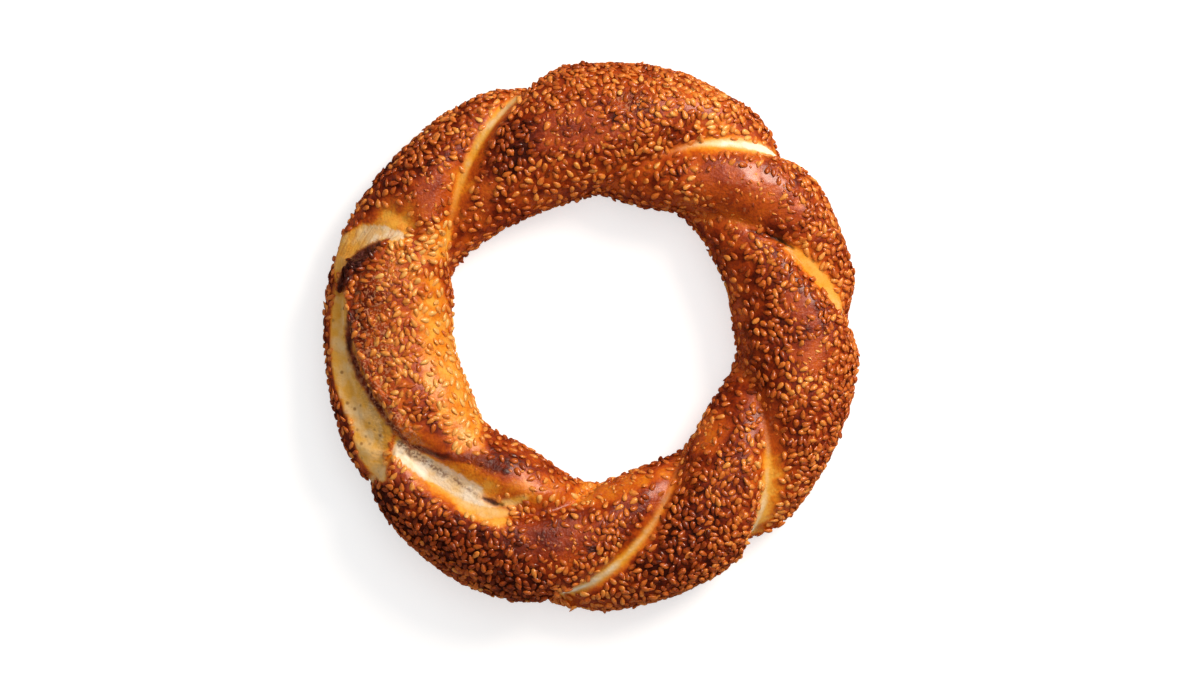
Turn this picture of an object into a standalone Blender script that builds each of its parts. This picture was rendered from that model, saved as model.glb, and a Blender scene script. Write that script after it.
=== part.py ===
"""A baked simit: two strands of dough twisted into a ring, with sesame seeds on the crust.

Run it with: blender --background --python part.py

The ring lies flat on z = 0 with its middle over the origin. Two directions describe its skin:
the turn is the angle round the ring, anticlockwise from +X seen from above, and the roll is the
angle round the dough itself, 0 at the outer side, 90 on top, 180 at the hole and 270 underneath.
"""

import math
from collections import namedtuple

import bmesh
import bpy
import numpy as np
from mathutils import Matrix, Vector, noise
from mathutils.bvhtree import BVHTree

MM = 0.001

# Where the dough's two sides run, as turns in degrees and radii from the ring's middle in
# millimetres. The creases below cut back from these.
OUTER_SIDE = (
    (23, 86.1),
    (72, 87.2),
    (96, 85.0),
    (133, 82.9),
    (162, 84.5),
    (190, 84.4),
    (238, 88.3),
    (286, 87.2),
    (336, 85.6),
)
HOLE_SIDE = (
    (20, 46.0),
    (42, 45.9),
    (67, 43.3),
    (110, 42.0),
    (148, 44.4),
    (172, 44.2),
    (200, 42.0),
    (222, 43.6),
    (242, 41.2),
    (268, 45.4),
    (289, 45.4),
    (328, 44.8),
)
CENTRE_SHIFT = (-0.3, 1.0)  # moves the outline's middle onto the origin

# The dough's cross-section: its height over its half width, and the widest level over its height.
HEIGHT_RATIO = 1.40
WIDEST_LEVEL = 0.44
TOP_POWER = 0.96
UNDER_POWER = 0.72
BAKED_FLAT = 1.2  # how far the round underside would reach below the tray
TUBE_RADIUS = 19.0  # turns roll angles into lengths along the skin

# Lumps in the crust: width and height of each size, in millimetres.
LUMPS = ((14.0, 0.55), (5.0, 0.22))

# A crease: stops are roll, turn, half the width of its pale floor and its depth. The shoulders are
# how far its two sides slope back, and the lips how high they stand. Left is the side of the
# smaller turn where the crease runs up over the dough.
Crease = namedtuple("Crease", "stops left_shoulder right_shoulder left_lip right_lip")
VALLEY = 17.0  # half the width of the shallow valley that each crease lies in
VALLEY_SHARE = 0.55  # the valley's depth over the crease's
WALL_POWER = 2.0
SOFT_EDGE = 0.6  # rounds the foot of each wall
FLOOR_SWELL = 0.16  # how much the stretched dough of a floor bulges, over half its width
LIP_PLACE = 2.4
LIP_WIDTH = 1.7
PALE_EDGE = 1.2  # seeds stop this far outside a floor
PALE_DEPTH = 1.5  # a crease shallower than this is crusted over

RING_STEPS = 360
SKIN_STEPS = 96
CREASE_STEP = 4  # degrees of roll between the points of a crease
CRUST_TRIANGLES = 5000
TRAY_TOUCH = 0.15  # skin that ends up this close to the tray lies flat on it

SEED_COUNT = 160
SEED_LENGTH = 3.1
SEED_WIDTH = 2.0
SEED_THICKNESS = 1.3
SEED_TAPER = 0.45  # how much narrower a seed gets towards its point
SEED_RAISED = 0.1  # the seed's middle above the crust
SEED_SPACING = 5.2
SEED_LOWEST = 3.5  # seeds keep this far above the tray
SEED_TILT = 0.25
SEED_ROLLS = (-35, 215)  # from low on the outer side over the top to low in the hole
SEED_TRIES = 12  # places looked at for each seed
SPREAD = (0.7548776662, 0.5698402910)  # steps that fill a square evenly
RANDOM_SEED = 7


def ordinary_seam(outer, inner, floor, depth, hole_share, shoulders):
    """A seam that climbs over the dough from one turn at the outer side to another at the hole.

    It drifts round the ring fastest on top. Its depth at the hole is a share of its depth elsewhere.
    """
    stops = []
    for roll in range(0, 181, 20):
        share = roll / 180
        eased = 0.6 * share * share * (3 - 2 * share) + 0.4 * share
        width = np.interp(roll, (15, 50, 90, 150), floor)
        fade = np.interp(roll, (0, 110, 180), (1, 1, hole_share))
        stops.append((roll, outer + (inner - outer) * eased, width, depth * fade))
    return Crease(tuple(stops), *shoulders, 0.0, 0.0)


# The seven places where a seam crosses the top, in order of turn.
SEAMS = (
    ordinary_seam(3, 51, (2.0, 2.2, 0.5, 0.3), 3.6, 0.8, (8, 11)),
    ordinary_seam(42.5, 84, (2.2, 2.0, 0.7, 0.3), 3.4, 0.6, (7, 13)),
    ordinary_seam(105, 155, (1.2, 1.9, 1.9, 0.8), 3.6, 1.0, (13, 8)),
    Crease(
        (
            (0, 161, 0.2, 0.2),
            (14, 161, 1.0, 0.8),
            (27, 160, 3.6, 2.2),
            (42, 157.5, 5.4, 3.0),
            (55, 153, 5.0, 3.0),
            (69, 151, 3.6, 2.8),
            (83, 151, 1.2, 2.4),
            (96, 152.5, 0.3, 1.8),
            (110, 156, 0.1, 0.9),
            (135, 165, 0.1, 0.3),
            (180, 190, 0.1, 0.2),
        ),
        8.0,
        3.5,
        0.0,
        0.9,
    ),
    Crease(
        (
            (0, 214, 1.2, 1.8),
            (32, 213, 1.2, 2.4),
            (60, 210, 1.3, 3.2),
            (72, 210, 1.8, 4.0),
            (80, 214, 3.0, 4.6),
            (88, 221, 4.0, 5.0),
            (96, 233, 4.0, 5.2),
            (103, 243, 2.8, 4.8),
            (110, 251, 1.4, 4.2),
            (120, 257, 0.8, 3.6),
            (135, 263, 0.6, 3.4),
            (180, 271, 0.5, 3.4),
        ),
        6.0,
        6.0,
        0.9,
        0.3,
    ),
    ordinary_seam(263, 307, (1.8, 1.9, 1.2, 0.7), 3.4, 0.7, (6, 12)),
    ordinary_seam(308.5, 350, (2.2, 1.8, 0.8, 0.3), 3.6, 0.6, (8, 12)),
)

# The band where the crust burst open along one strand and pale dough swelled out.
BURST = Crease(
    (
        (22, 163, 1.6, 1.2),
        (29, 169, 2.6, 2.2),
        (35, 176, 3.6, 2.7),
        (40, 183, 4.1, 2.9),
        (45, 191, 5.0, 3.1),
        (52, 199, 6.0, 3.0),
        (58, 204, 6.0, 2.8),
        (62, 207, 4.6, 2.4),
    ),
    3.4,
    3.2,
    1.1,
    0.2,
)

SEAM_STEP = 2  # each seam runs under the ring and comes up again as the one after the next


def spline(at, xs, ys):
    """A smooth curve through the points (xs, ys), read at the given places."""
    xs, ys = np.asarray(xs, float), np.asarray(ys, float)
    slope = np.gradient(ys, xs)
    k = np.clip(np.searchsorted(xs, at, side="right") - 1, 0, len(xs) - 2)
    span = xs[k + 1] - xs[k]
    t = np.clip((at - xs[k]) / span, 0, 1)
    ease = t * t * (3 - 2 * t)
    bend = span * t * (1 - t) * (slope[k] * (1 - t) - slope[k + 1] * t)
    return ys[k] * (1 - ease) + ys[k + 1] * ease + bend


def round_ring(turn, stops):
    """The value of a closed curve of (turn, value) stops at the given turns."""
    turns = [stop[0] + lap for lap in (-360, 0, 360) for stop in stops]
    values = [stop[1] for _ in range(3) for stop in stops]
    return spline(np.mod(turn, 360), turns, values)


def middle_and_half(turn):
    """The radius of the dough's centre line and half the dough's width at the given turns."""
    outer, hole = round_ring(turn, OUTER_SIDE), round_ring(turn, HOLE_SIDE)
    return (outer + hole) / 2, (outer - hole) / 2


def closed_seam(number):
    """The stops of a seam over the top and, narrower and half as deep, on under the ring."""
    stops = []
    for lap in (-1, 0, 1):
        laps, index = divmod(number + lap * SEAM_STEP, len(SEAMS))
        for roll, turn, floor, depth in SEAMS[index].stops:
            stops.append((roll + 360 * lap, turn + 360 * laps, floor, depth))
        roll, turn, floor, depth = stops[-1]
        stops.append((roll + 20, turn + 4, 0.3, 0.5 * depth))
    return np.array(stops)


def crease_lines():
    """Each crease as short pieces, listed as turns, rolls, floors and depths."""
    lines = []
    for number, seam in enumerate(SEAMS):
        lines.append((seam, closed_seam(number), np.arange(0, 361, CREASE_STEP)))
    burst = np.array(BURST.stops)
    lines.append((BURST, burst, np.arange(burst[0, 0], burst[-1, 0] + 1, CREASE_STEP / 2)))
    return [
        (crease, rolls, *(spline(rolls, stops[:, 0], stops[:, column]) for column in (1, 2, 3)))
        for crease, stops, rolls in lines
    ]


def degrees_apart(a, b):
    return np.mod(a - b + 180, 360) - 180


def across_crease(crease_line, turn, roll, reach):
    """How deep a crease cuts each point of the skin, and whether it leaves the dough pale there."""
    crease, rolls, turns, floors, depths = crease_line
    best = np.full(turn.shape, np.inf)
    side, floor, depth = np.zeros((3, *turn.shape))
    along, around = np.radians(reach), math.radians(TUBE_RADIUS)
    for k in range(len(rolls) - 1):
        step_s = degrees_apart(turns[k + 1], turns[k]) * along
        step_t = (rolls[k + 1] - rolls[k]) * around
        off_s = degrees_apart(turn, turns[k]) * along
        off_t = (roll - rolls[k]) * around
        share = np.clip((off_s * step_s + off_t * step_t) / (step_s**2 + step_t**2), 0, 1)
        gap = np.hypot(off_s - share * step_s, off_t - share * step_t)
        nearer = gap < best
        best = np.where(nearer, gap, best)
        side = np.where(nearer, step_s * off_t - step_t * off_s, side)
        floor = np.where(nearer, floors[k] * (1 - share) + floors[k + 1] * share, floor)
        depth = np.where(nearer, depths[k] * (1 - share) + depths[k + 1] * share, depth)
    left = side > 0
    shoulder = np.where(left, crease.left_shoulder, crease.right_shoulder)
    lip = np.where(left, crease.left_lip, crease.right_lip) * np.clip(depth / 2, 0, 1)
    past = SOFT_EDGE * np.logaddexp(0, (best - floor) / SOFT_EDGE)
    wall = np.clip(1 - past / shoulder, 0, 1) ** WALL_POWER
    valley = np.clip(1 - (best / VALLEY) ** 2, 0, 1) ** 2
    swell = FLOOR_SWELL * floor * np.clip(1 - (best / np.maximum(floor, SOFT_EDGE)) ** 2, 0, 1)
    ridge = lip * np.exp(-(((past - LIP_PLACE) / LIP_WIDTH) ** 2))
    pale = (best < floor + PALE_EDGE) & (depth > PALE_DEPTH)
    return depth * (wall + VALLEY_SHARE * valley), swell + ridge, pale


def relief(turn, roll, reach):
    """How far the skin lies inside the plain ring because of its creases, and where it is pale."""
    cuts, rises, pales = zip(*(across_crease(line, turn, roll, reach) for line in crease_lines()))
    deepest = np.sum(np.power(cuts, 4), axis=0) ** 0.25
    return deepest - np.max(rises, axis=0), np.any(pales, axis=0)


def lumps(points):
    """Uneven lumps of the crust, in millimetres."""
    total = np.zeros(len(points))
    for width, height in LUMPS:
        total += [height * noise.noise(Vector(p) / width) for p in points]
    return total


def skin(turn, roll):
    """Points of the simit's skin in millimetres, at turns and rolls in degrees, and if it is pale."""
    middle, half = middle_and_half(turn)
    height = HEIGHT_RATIO * half
    level = WIDEST_LEVEL * height
    c, s = np.cos(np.radians(roll)), np.sin(np.radians(roll))
    power = np.where(s >= 0, TOP_POWER, UNDER_POWER)
    up = np.where(s >= 0, height - level, level + BAKED_FLAT)
    out = half * np.sign(c) * np.abs(c) ** power
    rise = up * np.sign(s) * np.abs(s) ** power
    reach = middle + out
    cut, pale = relief(turn, roll, reach)

    a = np.radians(turn)
    bare = np.stack([reach * np.cos(a), reach * np.sin(a), level + rise], axis=-1)
    on_tray = np.clip(-s, 0, 1) ** 2
    moved = lumps(bare) * (1 - on_tray) - cut
    size = np.hypot(out, rise)
    reach = middle + out * (1 + moved / size)
    z = np.maximum(np.maximum(level + rise, 0) + moved * rise / size, 0)
    x = reach * np.cos(a) + CENTRE_SHIFT[0]
    y = reach * np.sin(a) + CENTRE_SHIFT[1]
    return np.stack([x, y, z], axis=-1), pale


def clear_scene():
    for obj in list(bpy.data.objects):
        bpy.data.objects.remove(obj)


def material(name, colour, roughness):
    made = bpy.data.materials.new(name)
    made.use_nodes = True
    shader = made.node_tree.nodes["Principled BSDF"]
    shader.inputs["Base Color"].default_value = (*colour, 1.0)
    shader.inputs["Roughness"].default_value = roughness
    shader.inputs["Metallic"].default_value = 0.0
    return made


def applied(obj):
    """The object with its modifiers made real."""
    graph = bpy.context.evaluated_depsgraph_get()
    mesh = bpy.data.meshes.new_from_object(obj.evaluated_get(graph))
    obj.modifiers.clear()
    obj.data = mesh
    return obj


def baked_dough(collection):
    """The twisted ring: a torus whose points move onto the simit's skin, thinned where it is plain."""
    wide, narrow = 2.0, 1.0
    bpy.ops.mesh.primitive_torus_add(
        major_segments=RING_STEPS, minor_segments=SKIN_STEPS, major_radius=wide, minor_radius=narrow
    )
    ring = bpy.context.object
    for home in list(ring.users_collection):
        home.objects.unlink(ring)
    collection.objects.link(ring)
    ring.name = "simit"
    co = np.empty(len(ring.data.vertices) * 3)
    ring.data.vertices.foreach_get("co", co)
    x, y, z = co.reshape(-1, 3).T
    turn = np.degrees(np.arctan2(y, x))
    roll = np.mod(np.degrees(np.arctan2(z, np.hypot(x, y) - wide)), 360)
    points, _ = skin(turn, roll)
    ring.data.vertices.foreach_set("co", (points * MM).ravel())
    ring.data.update()
    thin = ring.modifiers.new("thin", "DECIMATE")
    thin.ratio = CRUST_TRIANGLES / (2 * RING_STEPS * SKIN_STEPS)
    applied(ring)
    for vert in ring.data.vertices:
        if vert.co.z < TRAY_TOUCH * MM:
            vert.co.z = 0.0
    return ring


def seed_mesh():
    """One sesame seed: a flat drop, pointed at one end, with few sides."""
    bm = bmesh.new()
    bmesh.ops.create_uvsphere(bm, u_segments=5, v_segments=4, radius=0.5)
    for vert in bm.verts:
        x, y, z = vert.co.z, vert.co.y, vert.co.x
        narrow = 1 - SEED_TAPER * x
        vert.co = Vector((x * SEED_LENGTH, y * SEED_WIDTH * narrow, z * SEED_THICKNESS)) * MM
    bmesh.ops.recalc_face_normals(bm, faces=bm.faces)
    mesh = bpy.data.meshes.new("sesame")
    bm.to_mesh(mesh)
    bm.free()
    return mesh


def seed_places(rng):
    """Evenly spread points of the crust in millimetres, clear of the pale floors."""
    tries = np.arange(SEED_COUNT * SEED_TRIES)
    turn = np.mod(tries * SPREAD[0], 1) * 360
    lowest, highest = SEED_ROLLS
    roll = lowest + np.mod(tries * SPREAD[1], 1) * (highest - lowest)
    middle, half = middle_and_half(turn)
    reach = middle + half * np.cos(np.radians(roll))
    points, pale = skin(turn, np.mod(roll, 360))
    return points[(rng.random(len(tries)) < reach / (middle + half)) & ~pale]


def place_seeds(dough, collection):
    """Sets sesame seeds half sunk in the crust, apart from each other, in a seeded random order."""
    rng = np.random.default_rng(RANDOM_SEED)
    bm = bmesh.new()
    bm.from_mesh(dough.data)
    tree = BVHTree.FromBMesh(bm)
    bm.free()
    mesh = seed_mesh()
    placed = []
    for point in seed_places(rng) * MM:
        spot, normal, _, _ = tree.find_nearest(Vector(point))
        crowded = any((spot - other).length < SEED_SPACING * MM for other in placed)
        if crowded or spot.z < SEED_LOWEST * MM:
            continue
        placed.append(spot)
        lean = Vector(rng.normal(0, SEED_TILT, 3))
        turned = (normal + lean).normalized().to_track_quat("Z", "X")
        spin = Matrix.Rotation(rng.uniform(0, 2 * math.pi), 4, "Z")
        seed = bpy.data.objects.new(f"seed_{len(placed)}", mesh)
        seed.matrix_world = (
            Matrix.Translation(spot + normal * SEED_RAISED * MM) @ turned.to_matrix().to_4x4() @ spin
        )
        collection.objects.link(seed)
        if len(placed) == SEED_COUNT:
            break
    print(len(placed), "seeds placed")


def join_seeds(dough, seeds):
    """One solid of the dough and its seeds."""
    join = dough.modifiers.new("join", "BOOLEAN")
    join.operation = "UNION"
    join.operand_type = "COLLECTION"
    join.collection = seeds
    join.solver = "EXACT"
    bpy.context.view_layer.update()
    applied(dough)
    for seed in list(seeds.objects):
        bpy.data.objects.remove(seed)
    bpy.data.collections.remove(seeds)


def main():
    clear_scene()
    food = bpy.data.collections.new("simit")
    seeds = bpy.data.collections.new("sesame_seeds")
    bpy.context.scene.collection.children.link(food)
    bpy.context.scene.collection.children.link(seeds)
    dough = baked_dough(food)
    print(len(dough.data.polygons), "faces in the dough")
    place_seeds(dough, seeds)
    join_seeds(dough, seeds)
    print(len(dough.data.polygons), "faces in the simit")
    dough.data.materials.clear()
    dough.data.materials.append(material("toasted_crust", (0.42, 0.14, 0.03), 0.5))
    dough.data.shade_flat()


main()
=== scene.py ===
# %% [markdown]
# # A simit, from the tray
# A simit is a ring of two strands of dough, twisted together, dipped in thinned molasses, rolled
# in sesame seeds and baked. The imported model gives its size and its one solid. This lesson makes
# the skin again with far more points, colours it the way an oven does, and strews the seeds.

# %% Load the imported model
import math
from collections import namedtuple

import bmesh
import bpy
import numpy as np
from mathutils import Matrix, Vector, noise


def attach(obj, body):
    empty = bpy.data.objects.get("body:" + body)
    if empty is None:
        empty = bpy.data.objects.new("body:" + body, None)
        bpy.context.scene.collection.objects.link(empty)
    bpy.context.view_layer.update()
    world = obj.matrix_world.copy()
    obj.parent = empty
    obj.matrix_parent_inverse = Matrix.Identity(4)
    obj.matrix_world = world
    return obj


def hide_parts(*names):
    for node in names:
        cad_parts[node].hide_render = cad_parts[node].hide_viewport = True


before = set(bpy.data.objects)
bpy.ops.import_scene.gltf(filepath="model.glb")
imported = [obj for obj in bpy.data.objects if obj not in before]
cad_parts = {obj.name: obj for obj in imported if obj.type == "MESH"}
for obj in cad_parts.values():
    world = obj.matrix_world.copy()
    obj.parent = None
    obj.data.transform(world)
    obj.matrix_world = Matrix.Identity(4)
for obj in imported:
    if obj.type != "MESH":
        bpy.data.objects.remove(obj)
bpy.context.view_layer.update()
MM = 0.001
rng = np.random.default_rng(11)

# %% [markdown]
# ## The ring without its twist
# Two directions describe the skin. The turn is the angle round the ring, anticlockwise from +X
# seen from above. The roll is the angle round the dough: 0 at the outer side, 90 on top, 180 at
# the hole and 270 underneath. A smooth closed curve for each side gives the ring its uneven
# outline, so that a few radii measured on the photo are all it needs. A twisted pair of pipes
# would be quicker, but its seams would be far deeper than those of risen dough.

# %% The sides and the cross-section
OUTER_SIDE = (
    (23, 86.1), (72, 87.2), (96, 85.0), (133, 82.9), (162, 84.5), (190, 84.4), (238, 88.3),
    (286, 87.2), (336, 85.6),
)
HOLE_SIDE = (
    (20, 46.0), (42, 45.9), (67, 43.3), (110, 42.0), (148, 44.4), (172, 44.2), (200, 42.0),
    (222, 43.6), (242, 41.2), (268, 45.4), (289, 45.4), (328, 44.8),
)
CENTRE_SHIFT = (-0.3, 1.0)
HEIGHT_RATIO = 1.40
WIDEST_LEVEL = 0.44
TOP_POWER = 0.96
UNDER_POWER = 0.72
BAKED_FLAT = 1.2
TUBE_RADIUS = 19.0


def spline(at, xs, ys):
    """A smooth curve through the points (xs, ys), read at the given places."""
    xs, ys = np.asarray(xs, float), np.asarray(ys, float)
    slope = np.gradient(ys, xs)
    k = np.clip(np.searchsorted(xs, at, side="right") - 1, 0, len(xs) - 2)
    span = xs[k + 1] - xs[k]
    t = np.clip((at - xs[k]) / span, 0, 1)
    ease = t * t * (3 - 2 * t)
    bend = span * t * (1 - t) * (slope[k] * (1 - t) - slope[k + 1] * t)
    return ys[k] * (1 - ease) + ys[k + 1] * ease + bend


def round_ring(turn, stops):
    """The value of a closed curve of (turn, value) stops at the given turns."""
    turns = [stop[0] + lap for lap in (-360, 0, 360) for stop in stops]
    values = [stop[1] for _ in range(3) for stop in stops]
    return spline(np.mod(turn, 360), turns, values)


def middle_and_half(turn):
    """The radius of the dough's centre line and half the dough's width at the given turns."""
    outer, hole = round_ring(turn, OUTER_SIDE), round_ring(turn, HOLE_SIDE)
    return (outer + hole) / 2, (outer - hole) / 2


print("middle and half width at turn 0, mm:", np.round(middle_and_half(0.0), 1).tolist())

# %% [markdown]
# ## The creases
# Where two strands meet, the skin dives into a seam, and the oven stretches the seam open so
# that pale dough shows on its floor. Each crease is a line on the skin, given as stops of roll,
# turn, half the floor's width and depth. Its two sides have shoulders of their own width, and
# they may have a raised lip and a bare strip without seeds.
#
# Most seams climb over the dough in the same gentle S, so one function draws them. Two at the
# left, of which the lower tore open like a boat, are stops measured on the photo.

# %% The seams
Crease = namedtuple(
    "Crease", "stops left_shoulder right_shoulder left_lip right_lip cream left_bare right_bare"
)
FLOOR_ROLLS = (15, 50, 90, 150)
FADE_ROLLS = (0, 110, 180)
S_SHAPE = 0.6


def ordinary_seam(outer, inner, floor, depth, hole_share, shoulders, cream, bare):
    """A seam that climbs over the dough from a turn at the outer side to one at the hole."""
    stops = []
    for roll in range(0, 181, 20):
        share = roll / 180
        eased = S_SHAPE * share * share * (3 - 2 * share) + (1 - S_SHAPE) * share
        width = np.interp(roll, FLOOR_ROLLS, floor)
        fade = np.interp(roll, FADE_ROLLS, (1, 1, hole_share))
        stops.append((roll, outer + (inner - outer) * eased, width, depth * fade))
    return Crease(tuple(stops), *shoulders, 0.0, 0.0, cream, *bare)


UPPER_LEFT_SEAM = Crease(
    stops=(
        (0, 161, 0.2, 0.2), (14, 161, 1.0, 0.8), (27, 160, 3.6, 2.2), (42, 157.5, 5.4, 3.0),
        (55, 153, 5.0, 3.0), (69, 151, 3.6, 2.8), (83, 151, 1.2, 2.4), (96, 152.5, 0.3, 1.8),
        (110, 156, 0.1, 0.9), (135, 165, 0.1, 0.3), (180, 190, 0.1, 0.2),
    ),
    left_shoulder=8.0, right_shoulder=3.5, left_lip=0.0, right_lip=0.9,
    cream=0.1, left_bare=3.0, right_bare=0.0,
)
BOAT_SEAM = Crease(
    stops=(
        (0, 214, 1.2, 1.8), (32, 213, 1.2, 2.4), (60, 210, 1.3, 3.2), (72, 210, 1.8, 4.0),
        (80, 214, 3.0, 4.6), (88, 221, 4.0, 5.0), (96, 233, 4.0, 5.2), (103, 243, 2.8, 4.8),
        (110, 251, 1.4, 4.2), (120, 257, 0.8, 3.6), (135, 263, 0.6, 3.4), (180, 271, 0.5, 3.4),
    ),
    left_shoulder=6.0, right_shoulder=6.0, left_lip=0.9, right_lip=0.3,
    cream=0.85, left_bare=6.0, right_bare=2.8,
)
SEAMS = (
    ordinary_seam(3, 51, (2.3, 2.6, 0.6, 0.3), 3.6, 0.8, (8, 11), 0.0, (1.8, 1.0)),
    ordinary_seam(42.5, 84, (2.6, 2.4, 0.8, 0.3), 3.4, 0.6, (7, 13), 0.85, (3.0, 0.8)),
    ordinary_seam(105, 155, (1.2, 1.7, 1.2, 0.5), 3.6, 1.0, (13, 8), 0.35, (4.0, 0.8)),
    UPPER_LEFT_SEAM,
    BOAT_SEAM,
    ordinary_seam(263, 307, (1.8, 1.9, 1.2, 0.7), 3.4, 0.7, (6, 12), 0.6, (2.6, 1.8)),
    ordinary_seam(308.5, 350, (2.2, 1.8, 0.8, 0.3), 3.6, 0.6, (8, 12), 0.5, (1.0, 4.0)),
)
print(len(SEAMS), "seams")

# %% [markdown]
# ## The burst side, and the creases as lines
# At the left the skin was too tight and burst along the ring, so this crease runs with the dough
# and ends. A seam doesn't end: it dives under the ring and comes up again at the outer side as
# the seam two further on, because there are two strands. A curve object could carry each line,
# but short straight pieces in arrays are easier to measure against.

# %% The burst side and the lines
BURST = Crease(
    stops=(
        (22, 163, 1.6, 1.2), (29, 169, 2.6, 2.2), (35, 176, 3.6, 2.7), (40, 183, 4.1, 2.9),
        (45, 191, 5.0, 3.1), (52, 199, 6.0, 3.0), (58, 204, 6.0, 2.8), (62, 207, 4.6, 2.4),
    ),
    left_shoulder=3.4, right_shoulder=3.2, left_lip=1.1, right_lip=0.2,
    cream=0.2, left_bare=0.0, right_bare=0.3,
)
SEAM_STEP = 2
CREASE_STEP = 4
UNDER_ROLL, UNDER_TURN = 20, 4
UNDER_FLOOR, UNDER_SHARE = 0.3, 0.5


def closed_seam(number):
    """The stops of a seam over the top and, narrower and half as deep, on under the ring."""
    stops = []
    for lap in (-1, 0, 1):
        laps, index = divmod(number + lap * SEAM_STEP, len(SEAMS))
        for roll, turn, floor, depth in SEAMS[index].stops:
            stops.append((roll + 360 * lap, turn + 360 * laps, floor, depth))
        roll, turn, floor, depth = stops[-1]
        stops.append((roll + UNDER_ROLL, turn + UNDER_TURN, UNDER_FLOOR, UNDER_SHARE * depth))
    return np.array(stops)


def crease_lines():
    """Each crease as short pieces, listed as rolls, turns, floors and depths."""
    lines = []
    for number, seam in enumerate(SEAMS):
        lines.append((seam, closed_seam(number), np.arange(0, 361, CREASE_STEP)))
    burst = np.array(BURST.stops)
    lines.append((BURST, burst, np.arange(burst[0, 0], burst[-1, 0] + 1, CREASE_STEP / 2)))
    return [
        (crease, rolls, *(spline(rolls, stops[:, 0], stops[:, column]) for column in (1, 2, 3)))
        for crease, stops, rolls in lines
    ]


CREASE_LINES = crease_lines()
print(len(CREASE_LINES), "creases")

# %% [markdown]
# ## How near each point is to each crease
# The skin is unrolled in the mind: along the ring a degree is worth the radius there, and round
# the dough it is worth the dough's own radius. On that flat sheet the nearest point of a crease
# is plain geometry, worked out for all points at once with arrays.

# %% Nearness
Near = namedtuple("Near", "crease gap left floor depth")


def degrees_apart(a, b):
    """How far turn a is past turn b, from -180 to 180."""
    return np.mod(a - b + 180, 360) - 180


def nearness(crease_line, turn, roll, reach):
    """For each point, the gap to a crease's line, its side, and the floor and depth there."""
    crease, rolls, turns, floors, depths = crease_line
    best = np.full(turn.shape, np.inf)
    side, floor, depth = np.zeros((3, *turn.shape))
    along, around = np.radians(reach), math.radians(TUBE_RADIUS)
    for k in range(len(rolls) - 1):
        step_s = degrees_apart(turns[k + 1], turns[k]) * along
        step_t = (rolls[k + 1] - rolls[k]) * around
        off_s = degrees_apart(turn, turns[k]) * along
        off_t = (roll - rolls[k]) * around
        share = np.clip((off_s * step_s + off_t * step_t) / (step_s**2 + step_t**2), 0, 1)
        gap = np.hypot(off_s - share * step_s, off_t - share * step_t)
        nearer = gap < best
        best = np.where(nearer, gap, best)
        side = np.where(nearer, step_s * off_t - step_t * off_s, side)
        floor = np.where(nearer, floors[k] * (1 - share) + floors[k + 1] * share, floor)
        depth = np.where(nearer, depths[k] * (1 - share) + depths[k + 1] * share, depth)
    return Near(crease, best, side > 0, floor, depth)


# %% [markdown]
# ## From nearness to depth
# A crease is deepest on its floor, which swells a little in the middle. Past the floor its wall
# rises over the shoulder's width, and a wide valley lies round it all, because the strand is
# round there. A lip is a low ridge just past the floor's edge.

# %% Cuts, swellings and lips
VALLEY = 17.0
VALLEY_SHARE = 0.55
WALL_POWER = 2.0
SOFT_EDGE = 0.6
FLOOR_SWELL = 0.16
LIP_PLACE = 2.4
LIP_WIDTH = 1.7
FULL_LIP_DEPTH = 2


def cut_and_rise(near):
    """How deep a crease cuts the skin, and how far its floor and its lips swell up again."""
    crease = near.crease
    shoulder = np.where(near.left, crease.left_shoulder, crease.right_shoulder)
    lip = np.where(near.left, crease.left_lip, crease.right_lip)
    lip = lip * np.clip(near.depth / FULL_LIP_DEPTH, 0, 1)
    past = SOFT_EDGE * np.logaddexp(0, (near.gap - near.floor) / SOFT_EDGE)
    wall = np.clip(1 - past / shoulder, 0, 1) ** WALL_POWER
    valley = np.clip(1 - (near.gap / VALLEY) ** 2, 0, 1) ** 2
    dome = np.clip(1 - (near.gap / np.maximum(near.floor, SOFT_EDGE)) ** 2, 0, 1)
    ridge = lip * np.exp(-(((past - LIP_PLACE) / LIP_WIDTH) ** 2))
    return near.depth * (wall + VALLEY_SHARE * valley), FLOOR_SWELL * near.floor * dome + ridge


deepest = max(stop[3] for seam in (*SEAMS, BURST) for stop in seam.stops)
print("deepest floor below its shoulders, mm:", deepest)

# %% [markdown]
# ## The skin
# The plain section is a flattened round: full on top and at the sides, and flat where it lay on
# the tray. The creases and some lumps then move each point in or out. Dough is never even, so
# the lumps come in a wide size and a small one, as noise. Cuts that cross are joined softly,
# the deeper one winning. A displace modifier could do some of this, but it can't tell a seam's
# floor from its lips.

# %% The skin as points
LUMPS = ((14.0, 0.55), (5.0, 0.22))
JOIN_POWER = 4


def noise_at(points, width):
    """Smooth noise from about -1 to 1 whose bumps are about this many millimetres wide."""
    return np.array([noise.noise(Vector(point) / width) for point in points])


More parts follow.
